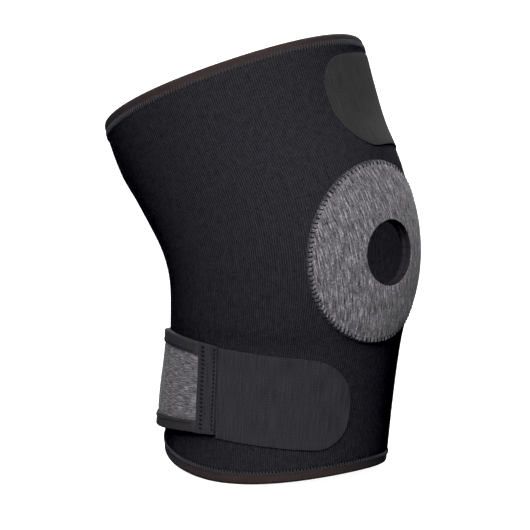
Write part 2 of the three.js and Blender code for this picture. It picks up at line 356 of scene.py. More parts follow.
def on_lower_strap(angle, station, height):
    """Place of the lower strap behind its tab, where it presses closest on the leg along its upper edge."""
    share = (station - LOWER["low"]) / (LOWER["high"] - LOWER["low"])
    lift = edge_lift("low", angle) * (1 - share) + edge_lift("high", angle) * share
    flare_done = done_at(angle, LOWER_FLARE["from"], LOWER_FLARE["to"])
    flare = LOWER_FLARE["front"] + (LOWER_FLARE["back"] - LOWER_FLARE["front"]) * flare_done
    return angle, station + lift, GAP + (height - GAP) * (flare + (1 - flare) * share)


def as_given(angle, station, height):
    return angle, station, height


def upper_rim(angle):
    return SLEEVE["top"] - UPPER_RIM["dip"] * np.sin(angle - UPPER_RIM["high_at"]) ** 2


def lower_rim(angle):
    return SLEEVE["bottom"] - LOWER_RIM["dip"] * np.sin(angle) ** 2 + LOWER_RIM["tilt"] * np.sin(angle)


def rim_leg(angle):
    """How far a rim tape reaches from the sleeve's edge, which is more at the back."""
    return RIM_TAPE["leg"] + (RIM_TAPE["back_leg"] - RIM_TAPE["leg"]) * (1 - np.cos(angle)) / 2


def rim_press(angle, station):
    """How far the rim tapes press the sleeve's face in."""
    inset = np.minimum(upper_rim(angle) - station, station - lower_rim(angle)) - rim_leg(angle)
    return RIM_TAPE["press"] * (1 - smoothstep(inset, 0, RIM_TAPE["press_fade"]))


def strap_press(angle, station):
    """How far the lower strap draws the sleeve's face in along its upper edge, at the front."""
    above = station - LOWER["high"]
    start, end = strap_angles(LOWER, np.array([STRAP_PRESS["from"], STRAP_PRESS["to"]]))
    fade = STRAP_PRESS["fade"]
    along = smoothstep(angle, start - fade, start) * (1 - smoothstep(angle, end, end + fade))
    under = smoothstep(above, -STRAP_PRESS["under"], -STRAP_PRESS["edge"])
    over = (1 - smoothstep(above, 0, STRAP_PRESS["above"])) * under
    return STRAP_PRESS["depth"] * along * over


# Outlines


def rounded(corners, steps=5):
    """Outline through (x, y, radius) corners, each turned on an arc of that radius."""
    points = []
    count = len(corners)
    for k, (x, y, radius) in enumerate(corners):
        here = np.array([x, y], float)
        before = unit(np.array(corners[k - 1][:2], float) - here)
        after = unit(np.array(corners[(k + 1) % count][:2], float) - here)
        if radius == 0:
            points.append(here)
            continue
        half = math.acos(np.clip(before @ after, -1, 1)) / 2
        middle = here + unit(before + after) * radius / math.sin(half)
        start = here + before * radius / math.tan(half)
        end = here + after * radius / math.tan(half)
        for share in np.linspace(0, 1, steps):
            points.append(middle + radius * unit((1 - share) * (start - middle) + share * (end - middle)))
    return np.array(points)


def refined(outline, longest):
    """The same outline with points added, so that no side is longer than that."""
    points = []
    for here, there in zip(outline, np.roll(outline, -1, axis=0)):
        parts = max(1, math.ceil(np.linalg.norm(there - here) / longest))
        points.extend(here + (there - here) * part / parts for part in range(parts))
    return np.array(points)


def folded_outline(tape, low, high):
    """Tape folded over an edge between two heights: x is 0 at the edge, and y is the height."""
    thick, leg, roll, lip = tape["thick"], tape["leg"], tape["roll"], tape["lip"]
    return refined(rounded([
        (-leg, low - thick, lip),
        (thick, low - thick, roll),
        (thick, high + thick, roll),
        (-leg, high + thick, lip),
        (-leg, high, 0),
        (0, high, 0),
        (0, low, 0),
        (-leg, low, 0),
    ]), tape["side"])


def closed_length(outline):
    return running_length(np.concatenate([outline, outline[:1]]))


# Meshes


def add_to_scene(name, data):
    made = bpy.data.objects.new(name, data)
    bpy.context.scene.collection.objects.link(made)
    return made


def make_object(name, points, faces, lengths, materials, face_materials=None):
    """Object from points in millimetres, faces of any size, and each corner's lengths on the cloth."""
    mesh = bpy.data.meshes.new(name)
    mesh.from_pydata(points.reshape(-1, 3) * MM, [], faces)
    layer = mesh.uv_layers.new(name="lengths")
    layer.uv.foreach_set("vector", np.asarray(lengths, np.float32).ravel())
    for material in materials:
        mesh.materials.append(material)
    if face_materials is not None:
        mesh.polygons.foreach_set("material_index", np.asarray(face_materials, np.int32))
    mesh.polygons.foreach_set("use_smooth", np.ones(len(mesh.polygons), bool))
    mesh.validate()
    return add_to_scene(name, mesh)


def finish_piece(piece, slot, *nodes):
    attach(piece, BODY)
    if nodes:
        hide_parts(*nodes)


def quads_of(count, sides, is_ring):
    """Corners of the faces between closed outlines, as (outline, side) places and as points.

    The places don't wrap round, so that lengths on the cloth run on past the last side.
    """
    spans = count if is_ring else count - 1
    i, j = np.meshgrid(np.arange(spans), np.arange(sides), indexing="ij")
    corners = ((i, j), (i, j + 1), (i + 1, j + 1), (i + 1, j))
    places = np.stack([np.stack(corner, -1) for corner in corners], -2).reshape(-1, 4, 2)
    return places, (places[..., 0] % count) * sides + places[..., 1] % sides


def swept(points, along, across, is_ring):
    """Faces and corner lengths of a row of closed outlines. points has the shape (outlines, sides, 3)."""
    count, sides = points.shape[:2]
    places, faces = quads_of(count, sides, is_ring)
    lengths = np.stack([along[places[..., 0]], across[places[..., 1]]], -1).reshape(-1, 2)
    if is_ring:
        return faces.tolist(), lengths
    last = (count - 1) * sides
    caps = [list(range(sides))[::-1], list(range(last, last + sides))]
    start_lengths = np.stack([np.full(sides, along[0]), across[:sides][::-1]], -1)
    end_lengths = np.stack([np.full(sides, along[count - 1]), across[:sides]], -1)
    return faces.tolist() + caps, np.concatenate([lengths, start_lengths, end_lengths])


def slab(name, strap, arounds, lows, highs, under_at, face_height_at, rows, place_at, material):
    """Closed slab along a strap, with rows between low and high stations, put in place by a function."""
    shares = np.linspace(0, 1, rows + 1)
    lows, highs = (np.broadcast_to(edge, arounds.shape)[:, None] for edge in (lows, highs))
    rising = lows + shares * (highs - lows)
    stations = np.concatenate([rising, rising[:, ::-1]], 1)
    heights = np.concatenate([under_at(rising), face_height_at(rising)[:, ::-1]], 1)
    points = lifted_at(*place_at(strap_angles(strap, arounds)[:, None], stations, heights))
    count, sides = stations.shape
    quads = quads_of(count, sides, False)[1].tolist()
    # The two ends are closed by strips between the under side and the face.
    ends = []
    for column, is_last in ((0, False), (count - 1, True)):
        for k in range(rows):
            strip = [column * sides + at for at in (k, k + 1, sides - 2 - k, sides - 1 - k)]
            ends.append(strip if is_last else strip[::-1])
    corner = np.array(quads + ends).ravel()
    lengths = np.stack([arounds[corner // sides], stations.ravel()[corner]], -1)
    return make_object(name, points, quads + ends, lengths, [material])


def level(height):
    """Height for a slab that doesn't change up the leg."""
    return lambda station: np.broadcast_to(height, station.shape)


def round_edges(piece):
    bevel = piece.modifiers.new("edge", "BEVEL")
    bevel.width = EDGE_BEVEL["width"] * MM
    bevel.segments = EDGE_BEVEL["segments"]
    bevel.limit_method = "ANGLE"
    bevel.angle_limit = EDGE_BEVEL["sharper_than"]


def stitch_piece(name, angles, stations, heights, radius, material, slot):
    """Round threads in one mesh, thinner at both ends, with a row of places for each thread."""
    paths = lifted_at(angles, stations, heights)
    count, steps = paths.shape[:2]
    ahead = unit(np.gradient(paths, axis=1))
    sideways = unit(np.cross(ahead, normal_at(angles, stations)))
    upwards = np.cross(sideways, ahead)
    turns = 2 * np.pi * np.arange(THREAD_SIDES) / THREAD_SIDES
    ring = np.cos(turns)[:, None] * sideways[:, :, None] + np.sin(turns)[:, None] * upwards[:, :, None]
    taper = np.ones(steps)
    taper[[0, -1]] = THREAD_TAPER
    points = paths[:, :, None] + radius * taper[None, :, None, None] * ring
    one_faces, one_lengths = swept(points[0], np.arange(steps), np.arange(THREAD_SIDES + 1), False)
    faces, lengths = [], []
    for k in range(count):
        offset = k * steps * THREAD_SIDES
        faces.extend([[corner + offset for corner in face] for face in one_faces])
        lengths.append(one_lengths + [k * steps, 0])
    piece = make_object(name, points, faces, np.concatenate(lengths), [material])
    finish_piece(piece, slot)


# Materials


def set_inputs(node, inputs):
    """Set or link a node's inputs, by their names with spaces as underscores."""
    for name, value in inputs.items():
        socket = node.inputs[name.replace("_", " ")]
        if isinstance(value, bpy.types.NodeSocket):
            node.id_data.links.new(value, socket)
        else:
            socket.default_value = value


def node_material(name, **inputs):
    """New material with its shader's inputs set."""
    material = bpy.data.materials.new(name)
    material.use_nodes = True
    set_inputs(material.node_tree.nodes["Principled BSDF"], inputs)
    return material


class Cloth:
    """Node material whose pattern follows the lengths on the cloth, in millimetres."""

    def __init__(self, name, roughness, specular, sheen=0.0, sheen_tint=(1, 1, 1), matt=0.0):
        self.material = node_material(
            name, Roughness=roughness, Diffuse_Roughness=matt, Specular_IOR_Level=specular,
            Sheen_Weight=sheen, Sheen_Tint=(*sheen_tint, 1),
        )
        self.tree = self.material.node_tree
        self.shader = self.tree.nodes["Principled BSDF"]
        lengths = self.tree.nodes.new("ShaderNodeUVMap")
        lengths.uv_map = "lengths"
        self.lengths = lengths.outputs["UV"]

    def node(self, kind, **inputs):
        """New node with its inputs set or linked."""
        node = self.tree.nodes.new(kind)
        set_inputs(node, inputs)
        return node

    def noise(self, across, along, turn=0.0, detail=2.0, roughness=0.5, distortion=0.0):
        """Uneven pattern with a grain of that many millimetres each way."""
        turned = self.node("ShaderNodeMapping", Vector=self.lengths, Rotation=(0, 0, math.radians(turn)))
        grain = (1 / across, 1 / along, 1)
        scaled = self.node("ShaderNodeMapping", Vector=turned.outputs[0], Scale=grain)
        return self.node(
            "ShaderNodeTexNoise", Vector=scaled.outputs[0], Scale=1.0,
            Detail=detail, Roughness=roughness, Distortion=distortion,
        ).outputs["Fac"]

    def ribs(self, pitch, is_first=True, distortion=0.0):
        """Even ribs of a pitch in millimetres, in a row along the first length or the second."""
        scale = WAVE_PITCH / pitch
        wave = self.node(
            "ShaderNodeTexWave", Vector=self.lengths, Scale=scale, Detail=1.0, Distortion=distortion,
        )
        wave.bands_direction = "X" if is_first else "Y"
        return wave.outputs["Fac"]

    def blended(self, *layers):
        """Sum of (value, weight) layers."""
        total = None
        for value, weight in layers:
            node = self.tree.nodes.new("ShaderNodeMath")
            node.operation = "MULTIPLY_ADD"
            self.tree.links.new(value, node.inputs[0])
            node.inputs[1].default_value = weight
            node.inputs[2].default_value = 0.0
            if total is not None:
                self.tree.links.new(total, node.inputs[2])
            total = node.outputs[0]
        return total

    def colour(self, share, *stops):
        """Base colour along (place, colour) stops."""
        node = self.node("ShaderNodeValToRGB", Fac=share)
        while len(node.color_ramp.elements) < len(stops):
            node.color_ramp.elements.new(0.5)
        for element, (place, colour) in zip(node.color_ramp.elements, stops):
            element.position = place
            element.color = (*colour, 1)
        set_inputs(self.shader, {"Base Color": node.outputs["Color"]})

    def tones(self, share, base, *stops):
        """Base colour along (place, factor) stops, each factor making one colour lighter or darker."""
        self.colour(share, *((place, [channel * factor for channel in base]) for place, factor in stops))

    def relief(self, *layers):
        """Bump from (height, depth in millimetres) layers."""
        normal = None
        for height, depth in layers:
            bump = self.node("ShaderNodeBump", Height=height, Strength=1.0, Distance=depth * MM)
            if normal is not None:
                set_inputs(bump, {"Normal": normal})
            normal = bump.outputs["Normal"]
        set_inputs(self.shader, {"Normal": normal})


def knit_cloth(name, base, ribbing):
    """Knit face or lining of the neoprene, ribbed along the leg to the given share."""
    cloth = Cloth(name, roughness=0.9, specular=0.02)
    ribs = cloth.ribs(GIRTH / RIB_COUNT, distortion=1.2)
    loops = cloth.noise(0.8, 1.1, roughness=0.7)
    mottle = cloth.noise(3, 4, detail=3)
    share = cloth.blended((ribs, ribbing), (loops, 0.9 - ribbing), (mottle, 0.3))
    cloth.tones(share, base, (0.3, 0.4), (0.6, 1), (0.9, 1.8))
    cloth.relief((ribs, 0.8 * ribbing), (loops, 0.5))
    return cloth.material


def heather_cloth(name, base, width, length, turn, matt):
    """Grey marl: light and dark strands of a width and length in millimetres, all drawn out one way."""
    cloth = Cloth(name, roughness=0.95, specular=0.05, sheen=0.08, matt=matt)
    strands = cloth.noise(width, length, turn, roughness=0.6, distortion=0.2)
    mottle = cloth.noise(width * 3, length * 0.6, turn)
    flecks = cloth.noise(width * 0.7, width * 1.8, turn, detail=1)
    share = cloth.blended((strands, 0.56), (mottle, 0.12), (flecks, 0.32))
    cloth.tones(share, base, (0.37, 0.2), (0.46, 0.59), (0.54, 1), (0.63, 2.2))
    cloth.relief((strands, 0.2), (flecks, 0.15))
    return cloth.material


def hook_cloth(name, base):
    """Smooth dark back of the hook tape, with a fine weave."""
    cloth = Cloth(name, roughness=0.8, specular=0.06, matt=0.6)
    warp = cloth.ribs(1.1, distortion=1.0)
    weft = cloth.ribs(0.9, is_first=False, distortion=1.0)
    weave = cloth.noise(0.7, 0.7)
    strands = cloth.noise(0.8, 18)
    cloudy = cloth.noise(12, 9)
    share = cloth.blended((warp, 0.06), (weft, 0.06), (weave, 0.44), (strands, 0.42), (cloudy, 0.1))
    cloth.tones(share, base, (0.3, 0.55), (0.5, 1), (0.7, 1.5))
    cloth.relief((weave, 0.1), (weft, 0.04), (warp, 0.04))
    return cloth.material


def tape_cloth(name, base):
    """Woven edging tape, finely ribbed across its length."""
    cloth = Cloth(name, roughness=0.85, specular=0.05, sheen=0.03, sheen_tint=(0.5, 0.75, 1.0))
    ribs = cloth.ribs(TAPE_RIB, distortion=0.6)
    weave = cloth.noise(0.8, 0.8)
    worn = cloth.noise(16, 5)
    share = cloth.blended((ribs, 0.35), (weave, 0.35), (worn, 0.3))
    cloth.tones(share, base, (0.2, 0.6), (0.5, 1), (0.85, 1.45))
    cloth.relief((ribs, 0.12), (weave, 0.08))
    return cloth.material


def foam_edge():
    """Cut edge of dark foam rubber."""
    cloth = Cloth("foam_edge", roughness=0.9, specular=0.05)
    cells = cloth.noise(0.5, 0.5)
    cloth.colour(cells, (0.3, (0.014, 0.013, 0.015)), (0.7, (0.032, 0.03, 0.034)))
    cloth.relief((cells, 0.15))
    return cloth.material


def thread_yarn(name, base):
    """Twisted sewing thread."""
    cloth = Cloth(name, roughness=0.7, sheen=0.03, specular=0.1)
    twist = cloth.noise(0.6, 1.5, detail=1)
    cloth.tones(twist, base, (0.3, 0.6), (0.7, 1.4))
    cloth.relief((twist, 0.05))
    return cloth.material


# Sleeve and its rims


def sleeve_grid():
    """Angles and stations of the sleeve's grid, with a row for each step up the leg."""
    angles = angle_at(np.linspace(-GIRTH / 2, GIRTH / 2, SLEEVE_COLUMNS + 1), 0)
    under_tape = np.linspace(0, 1, RIM_ROWS)[:, None] * (rim_leg(angles) + RIM_TAPE["press_fade"])
    low, high = lower_rim(angles) + under_tape, upper_rim(angles) - under_tape
    between = SLEEVE_ROWS + 1 - 2 * RIM_ROWS
    shares = np.linspace(0, 1, between + 2)[1:-1, None]
    stations = np.concatenate([low, low[-1] + shares * (high[-1] - low[-1]), high[::-1]])
    return np.broadcast_to(angles, stations.shape).copy(), stations


def cut_opening(angles, stations):
    """Which squares of the sleeve's grid are open. Corners on their border move onto the opening's edge."""
    across, up = kneecap_offsets(angles, stations)
    reach = np.hypot(across, up)
    middles = (reach[:-1, :-1] + reach[1:, :-1] + reach[:-1, 1:] + reach[1:, 1:]) / 4
    is_open = middles < KNEECAP["hole"]
    near_open, near_shut = np.zeros_like(reach, bool), np.zeros_like(reach, bool)
    for row, column in ((0, 0), (0, 1), (1, 0), (1, 1)):
        block = (slice(row, row + SLEEVE_ROWS), slice(column, column + SLEEVE_COLUMNS))
        near_open[block] |= is_open
        near_shut[block] |= ~is_open
    border = near_open & near_shut
    scale = KNEECAP["hole"] / reach[border]
    angles[border], stations[border] = kneecap_spot(across[border] * scale, up[border] * scale)
    return is_open


def sleeve_piece(knit, foam, lining):
    """Both faces of the sleeve, with foam between them at the rims and round the kneecap opening."""
    angles, stations = sleeve_grid()
    column_angles = angles[0].copy()
    is_open = cut_opening(angles, stations)
    rows, columns = SLEEVE_ROWS + 1, SLEEVE_COLUMNS
    pressed = rim_press(angles, stations) + strap_press(angles, stations)
    outer = lifted_at(angles[:, :-1], stations[:, :-1], -pressed[:, :-1])
    inner = lifted_at(angles[:, :-1], stations[:, :-1], np.full((rows, columns), -SLEEVE["wall"]))
    arounds = np.linspace(-GIRTH / 2, GIRTH / 2, columns + 1)
    cloth_lengths = np.stack([np.interp(angles, column_angles, arounds), stations], -1)
    faces, lengths, kinds = [], [], []

    def add(corners, kind):
        faces.append([(layer * rows + row) * columns + column % columns for row, column, layer in corners])
        lengths.extend(cloth_lengths[row, column] for row, column, layer in corners)
        kinds.append(kind)

    for row in range(SLEEVE_ROWS):
        for column in range(columns):
            if is_open[row, column]:
                continue
            loop = [(row, column), (row, column + 1), (row + 1, column + 1), (row + 1, column)]
            beside = [(row - 1, column), (row, (column + 1) % columns), (row + 1, column), (row, column - 1)]
            add([(*corner, OUTER) for corner in loop], FACE_CLOTH)
            add([(*corner, INNER) for corner in loop[::-1]], SECOND_CLOTH)
            for k, (next_row, next_column) in enumerate(beside):
                is_rim = not 0 <= next_row < SLEEVE_ROWS
                if is_rim or is_open[next_row, next_column]:
                    start, end = loop[k], loop[(k + 1) % 4]
                    add([(*end, OUTER), (*start, OUTER), (*start, INNER), (*end, INNER)], CUT_FOAM)
    points = np.concatenate([outer, inner])
    piece = make_object("sleeve_knit", points, faces, lengths, [knit, foam, lining], kinds)
    finish_piece(piece, "neoprene", "sleeve")


def rim_piece(name, node, rim_at, direction, material):
    """Tape folded over a rim of the sleeve."""
    outline = folded_outline(RIM_TAPE, -SLEEVE["wall"] - GAP, GAP - RIM_TAPE["press"])
    turns = direction * 2 * np.pi * np.arange(RIM_COLUMNS + 1) / RIM_COLUMNS
    angles = turns[:-1, None]
    across = outline[:, 0]
    rise = np.where(across < 0, across * rim_leg(angles) / RIM_TAPE["leg"], across)
    points = lifted_at(angles, rim_at(angles) + direction * (GAP + rise), outline[:, 1])
    along = np.abs(around_at(turns / 2, rim_at(turns))) * 2
    faces, lengths = swept(points, along, closed_length(outline), True)
    piece = make_object(name, points, faces, lengths, [material])
    finish_piece(piece, "rim_tape", node)


def rim_stitches(name, rim_at, direction, over, is_inside, material):
    """Row of slanting stitches over the edge of a rim tape, outside or inside the sleeve."""
    girth = girth_at(rim_at(0.0))
    count = int(girth / RIM_STITCH["pitch"])
    starts = np.arange(count) / count * girth - girth / 2
    shares, rises = RIM_STITCH_COURSE.T
    angles = angle_at(starts[:, None] + shares * RIM_STITCH["pitch"] * RIM_STITCH["slant"], rim_at(0.0))
    past_edge = shares * (RIM_STITCH["below"] + over) - RIM_STITCH["below"]
    stations = rim_at(angles) + direction * (GAP - rim_leg(angles) + past_edge)
    tape_face = GAP + RIM_TAPE["thick"] - (0 if is_inside else RIM_TAPE["press"])
    climb = [RIM_STITCH["climb_from"], RIM_STITCH["climb_to"]]
    heights = np.interp(past_edge, climb, [0, tape_face]) + RIM_STITCH["thread"] * rises
    if is_inside:
        heights = -SLEEVE["wall"] - heights
    stitch_piece(name, angles, stations, heights, RIM_STITCH["thread"], material, "rim_tape")


# Ring pad


def pad_height(inset):
    """Height of the ring pad's face at a distance in from its outer edge."""
    face = GAP + RING["thick"] - RING["crown"] * (1 - smoothstep(inset, 0, RING["crown_reach"]))
    rounding = np.sqrt(1 - (1 - np.clip(inset / RING["round"], 0, 1)) ** 2)
    return RING["seat"] + (face - RING["seat"]) * rounding


def needle_holes(inset, turn):
    """How far the stitches pull the ring pad's face down."""
    count = OVERCAST["count"]
    beside = (turn * count / (2 * np.pi) + 0.5) % 1 - 0.5
    sideways = beside * 2 * np.pi * RING["radius"] / count
    spread = NEEDLE_HOLE["width"] ** 2
    pit = np.exp(-((inset - OVERCAST["inward"]) ** 2 + sideways ** 2) / spread)
    crease = NEEDLE_HOLE["crease"] * np.exp(-(sideways ** 2) / spread)
    crease = crease * (1 - smoothstep(inset, 0, OVERCAST["inward"]))
    return NEEDLE_HOLE["depth"] * np.maximum(pit, crease)


def edge_pull(turns):
    """How far the overcasting draws the ring pad's edge in."""
    return OVERCAST["scallop"] * (1 + np.cos(OVERCAST["count"] * turns)) / 2


def ring_section(turns):
    """Radii and heights of the ring pad's section at each turn, and its sides' materials."""
    hole, radius, lip, seat = KNEECAP["hole"], RING["radius"], RING["lip"], RING["seat"]
    face = GAP + RING["thick"]
    sewn = 2 * OVERCAST["inward"]
    under = np.linspace(hole, radius - RING["under_inset"], RING_STEPS["under"])[1:]
    insets = np.concatenate([
        RING["round"] * (1 - np.cos(np.linspace(0, np.pi / 2, RING_STEPS["round"]))),
        np.linspace(RING["round"], sewn, RING_STEPS["sewn"])[1:],
        np.linspace(sewn, radius - hole - lip, RING_STEPS["face"])[1:],
    ])
    bend = np.linspace(0, np.pi / 2, RING_STEPS["lip"])[1:]
    down = np.linspace(face - lip, seat, RING_STEPS["wall"])[1:]
    plain = np.ones_like(turns)
    radii = np.concatenate([
        under * plain,
        radius - insets - edge_pull(turns) * (1 - smoothstep(insets, 0, sewn)),
        (hole + lip - lip * np.sin(bend)) * plain,
        np.full(len(down), hole) * plain,
    ], 1)
    rounding = np.clip(insets / RING["round"], 0, 1)
    heights = np.concatenate([
        np.full(len(under), seat) * plain,
        pad_height(insets) - rounding * needle_holes(insets, turns),
        (face - lip + lip * np.cos(bend)) * plain,
        down * plain,
    ], 1)
    kinds = np.full(radii.shape[1], FACE_CLOTH)
    kinds[-len(down) - RING_STEPS["lip_foam"]:] = CUT_FOAM
    # The rounded outer edge takes the darker copy of the heather: painted shade.
    kinds[len(under):len(under) + RING_STEPS["round"] - 1] = SECOND_CLOTH
    return radii, heights, kinds


def ring_piece(heather, foam, painted_shade_edge):
    """Ring pad round the kneecap opening, crowned and drawn down along its sewn edge. Its rounded outer edge
    has a darker copy of the heather, which is painted shade.
    """
    turns = -2 * np.pi * np.arange(RING_COLUMNS)[:, None] / RING_COLUMNS
    radii, heights, kinds = ring_section(turns)
    across, up = radii * np.cos(turns), radii * np.sin(turns)
    angles, stations = kneecap_spot(across, up)
    points = lifted_at(angles, stations, heights)
    faces = quads_of(RING_COLUMNS, len(kinds), True)[1]
    lengths = np.stack([across.ravel()[faces], (up * KNEECAP["tall"]).ravel()[faces]], -1)
    materials = [heather, foam, painted_shade_edge]
    piece = make_object("ring_pad", points, faces.tolist(), lengths, materials, np.tile(kinds, RING_COLUMNS))
    finish_piece(piece, "heather_pad", "patella_ring")


def ring_stitches(material):
    """Overcasting round the ring pad's outer edge, a little uneven."""
    count, radius, shares = OVERCAST["count"], OVERCAST["thread"], OVERCAST_SHARES
    random = np.random.default_rng(OVERCAST["seed"])
    turns = 2 * np.pi * np.arange(count) / count
    outward = OVERCAST["outward"] + random.uniform(-OVERCAST["uneven"], OVERCAST["uneven"], count)
    slants = random.uniform(OVERCAST["slant_least"], OVERCAST["slant_most"], count) * 2 * np.pi / count
    insets = OVERCAST["inward"] - shares * (OVERCAST["inward"] + outward)[:, None]
    bearings = turns[:, None] + shares * slants[:, None]
    heights = pad_height(insets) - needle_holes(insets, bearings) + (OVERCAST["over"] - shares) * radius
    heights[:, 0] -= OVERCAST["dip"] * radius
    heights[:, -1] = 0
    radii = RING["radius"] - OVERCAST["scallop"] - insets
    angles, stations = kneecap_spot(radii * np.cos(bearings), radii * np.sin(bearings))
    stitch_piece("ring_overcasting", angles, stations, heights, radius, material, "heather_pad")


def ring_cord(material):
    """Thread that the overcasting holds against the ring pad's outer edge."""
    columns, sides = RING_COLUMNS // 2, RING_CORD["sides"]
    turns = 2 * np.pi * np.arange(columns)[:, None] / columns
    section = 2 * np.pi * np.arange(sides) / sides
    radii = RING["radius"] + RING_CORD["outside"] + RING_CORD["thread"] * np.cos(section)
    heights = RING_CORD["height"] + RING_CORD["thread"] * np.sin(section)
    wave = 1 - edge_pull(turns) / RING["radius"]
    angles, stations = kneecap_spot(np.cos(turns) * radii * wave, np.sin(turns) * radii * wave)
    points = lifted_at(angles, stations, heights)
    along = np.arange(columns + 1) * 2 * np.pi * RING["radius"] / columns
    faces, lengths = swept(points, along, np.arange(sides + 1) * RING_CORD["side"], True)
    piece = make_object("ring_edge_cord", points, faces, lengths, [material])
    finish_piece(piece, "heather_pad")


# Straps


def corner_inset(radius, distance):
    """How far a round corner draws the edge in at a distance from the tip."""
    left = np.maximum(radius - distance, 0)
    return radius - np.sqrt(radius ** 2 - left ** 2)


def tab_piece(name, node, strap, tab, root, material):
    """Hook tab laid on the sleeve, from its round tip to the root, where it is sewn."""
    direction = np.sign(root - strap["tip"])
    length = abs(root - strap["tip"])
    tip_round = max(tab["high_round"], tab["low_round"])
    bend = tip_round * (1 - np.cos(np.linspace(0, np.pi / 2, TAB_GRID["tip_columns"])))
    straight = np.arange(tip_round, length, TAB_GRID["column_step"])[1:]
    distances = np.concatenate([bend, straight, [length]])[::int(direction)]
    fall = tab["fall"] * (1 - smoothstep(distances, 0, tab["fall_length"]))
    lows = strap["low"] + tab["tall"] * corner_inset(tab["low_round"], distances) - fall
    highs = strap["high"] - tab["tall"] * corner_inset(tab["high_round"], distances) - fall
    piece = slab(
        name, strap, strap["tip"] + direction * distances, lows, highs,
        level(TAB_GAP), level(TAB_GAP + TAB_THICK), TAB_GRID["rows"], as_given, material,
    )
    round_edges(piece)
    finish_piece(piece, "hook_fabric", node)


def panel_piece(material):
    """Loop panel of the lower strap, thinner where its long edges are bound."""
    arounds = np.linspace(LOWER["sewn_end"], LOWER["joint_back"], PANEL_GRID["columns"])
    edge = STRAP_TAPE["thick"] + GAP
    bound = STRAP_TAPE["leg"] + edge
    low, high = LOWER["low"] + edge, LOWER["high"] - edge

    def swollen(bound_height, free_height):
        def height_at(station):
            inset = np.minimum(station - LOWER["low"], LOWER["high"] - station)
            swell = smoothstep(inset, bound + PANEL_SWELL["from"], bound + PANEL_SWELL["to"])
            return bound_height + (free_height - bound_height) * swell
        return height_at

    piece = slab(
        "strap_loop_panel", LOWER, arounds, low, high,
        swollen(PANEL["bound_base"], GAP), swollen(PANEL["bound_face"], PANEL["face"]),
        PANEL_GRID["rows"], on_lower_strap, material,
    )
    finish_piece(piece, "loop_fabric", "strap_panel")


def strap_edge_piece(name, node, edge, direction, material):
    """Tape folded over a long edge of the loop panel."""
    low, high = PANEL["bound_base"] - GAP, PANEL["bound_face"] + GAP
    outline = folded_outline(STRAP_TAPE, low, high)
    arounds = np.linspace(LOWER["sewn_end"], LOWER["joint_back"], STRAP_EDGE_COLUMNS)[::direction]
    angles = strap_angles(LOWER, arounds)[:, None]
    stations = edge + direction * (outline[:, 0] - STRAP_TAPE["thick"])
    points = lifted_at(*on_lower_strap(angles, stations, outline[:, 1]))
    faces, lengths = swept(points, arounds, closed_length(outline), False)
    piece = make_object(name, points, faces, lengths, [material])
    finish_piece(piece, "strap_tape", node)


def joint_piece(material):
    """Band that joins the loop panel to its tab, thinner towards the tab."""
    arounds = np.linspace(LOWER["joint_back"], LOWER["joint_front"], JOINT_GRID["columns"])
    slope = np.linspace(JOINT["back_face"], JOINT["front_face"], JOINT_GRID["columns"])[:, None]
    piece = slab(
        "strap_joint_band", LOWER, arounds, LOWER["low"], LOWER["high"],
        level(GAP), level(slope), JOINT_GRID["rows"], on_lower_strap, material,
    )
    round_edges(piece)
    finish_piece(piece, "strap_tape", "strap_joint")


def running_stitches(name, strap, place_at, starts, ends, height, radius, material, slot):
    """Stitches on a strap between (around, station) places, each dipping into the cloth at both ends."""
    shares, rises = SEAM_STITCH_COURSE.T
    tips = []
    for arounds, stations in (starts, ends):
        tip = place_at(strap_angles(strap, arounds), stations, height)
        tips.append(np.stack(np.broadcast_arrays(*tip), -1)[:, None])
    places = tips[0] + shares[:, None] * (tips[1] - tips[0])
    places[..., 2] += radius * rises
    stitch_piece(name, *np.moveaxis(places, -1, 0), radius, material, slot)


def joint_stitches(name, row, material):
    """Row of stitches down the joint band, from its upper edge."""
    sides = [LOWER["joint_back"], LOWER["joint_front"]]
    face = np.interp(row["around"], sides, [JOINT["back_face"], JOINT["front_face"]])
    middles = np.arange(LOWER["high"] - SEAM["margin"], LOWER["low"] + SEAM["margin"], -JOINT_PITCH)
    ends = [
        (row["around"] + side * row["reach_round"], middles + side * row["reach_up"])
        for side in (-0.5, 0.5)
    ]
    running_stitches(name, LOWER, on_lower_strap, *ends, face, row["thread"], material, "strap_tape")


def strap_edge_stitches(name, edge, direction, material):
    """Row of stitches along the inner side of a strap's edge tape."""
    station = edge - direction * (STRAP_TAPE["leg"] + STRAP_TAPE["thick"] - SEAM["margin"])
    face = PANEL["bound_face"] + GAP + STRAP_TAPE["thick"]
    first = np.arange(LOWER["sewn_end"] + SEAM["margin"], LOWER["joint_back"] - SEAM["pitch"], SEAM["pitch"])
    ends = [(first, station), (first + SEAM["stitch"], station)]
    running_stitches(name, LOWER, on_lower_strap, *ends, face, SEAM["thread"], material, "strap_tape")


def sewn_end_stitches(name, strap, margin, inward, face, place_at, material, slot):
    """Rows of stitches across the sewn end of a strap, with a margin to its long edges."""
    margin = margin + SEAM["margin"]
    first = np.arange(strap["low"] + margin, strap["high"] - margin - SEAM["stitch"], SEAM["pitch"])
    rows = SEAM["margin"] + SEAM["row_gap"] * np.arange(SEAM["end_rows"])
    arounds = strap["sewn_end"] + inward * np.repeat(rows, len(first))
    first = np.tile(first, len(rows))
    ends = [(arounds, first), (arounds, first + SEAM["stitch"])]
    running_stitches(name, strap, place_at, *ends, face, SEAM["thread"], material, slot)


# Stage, light and camera


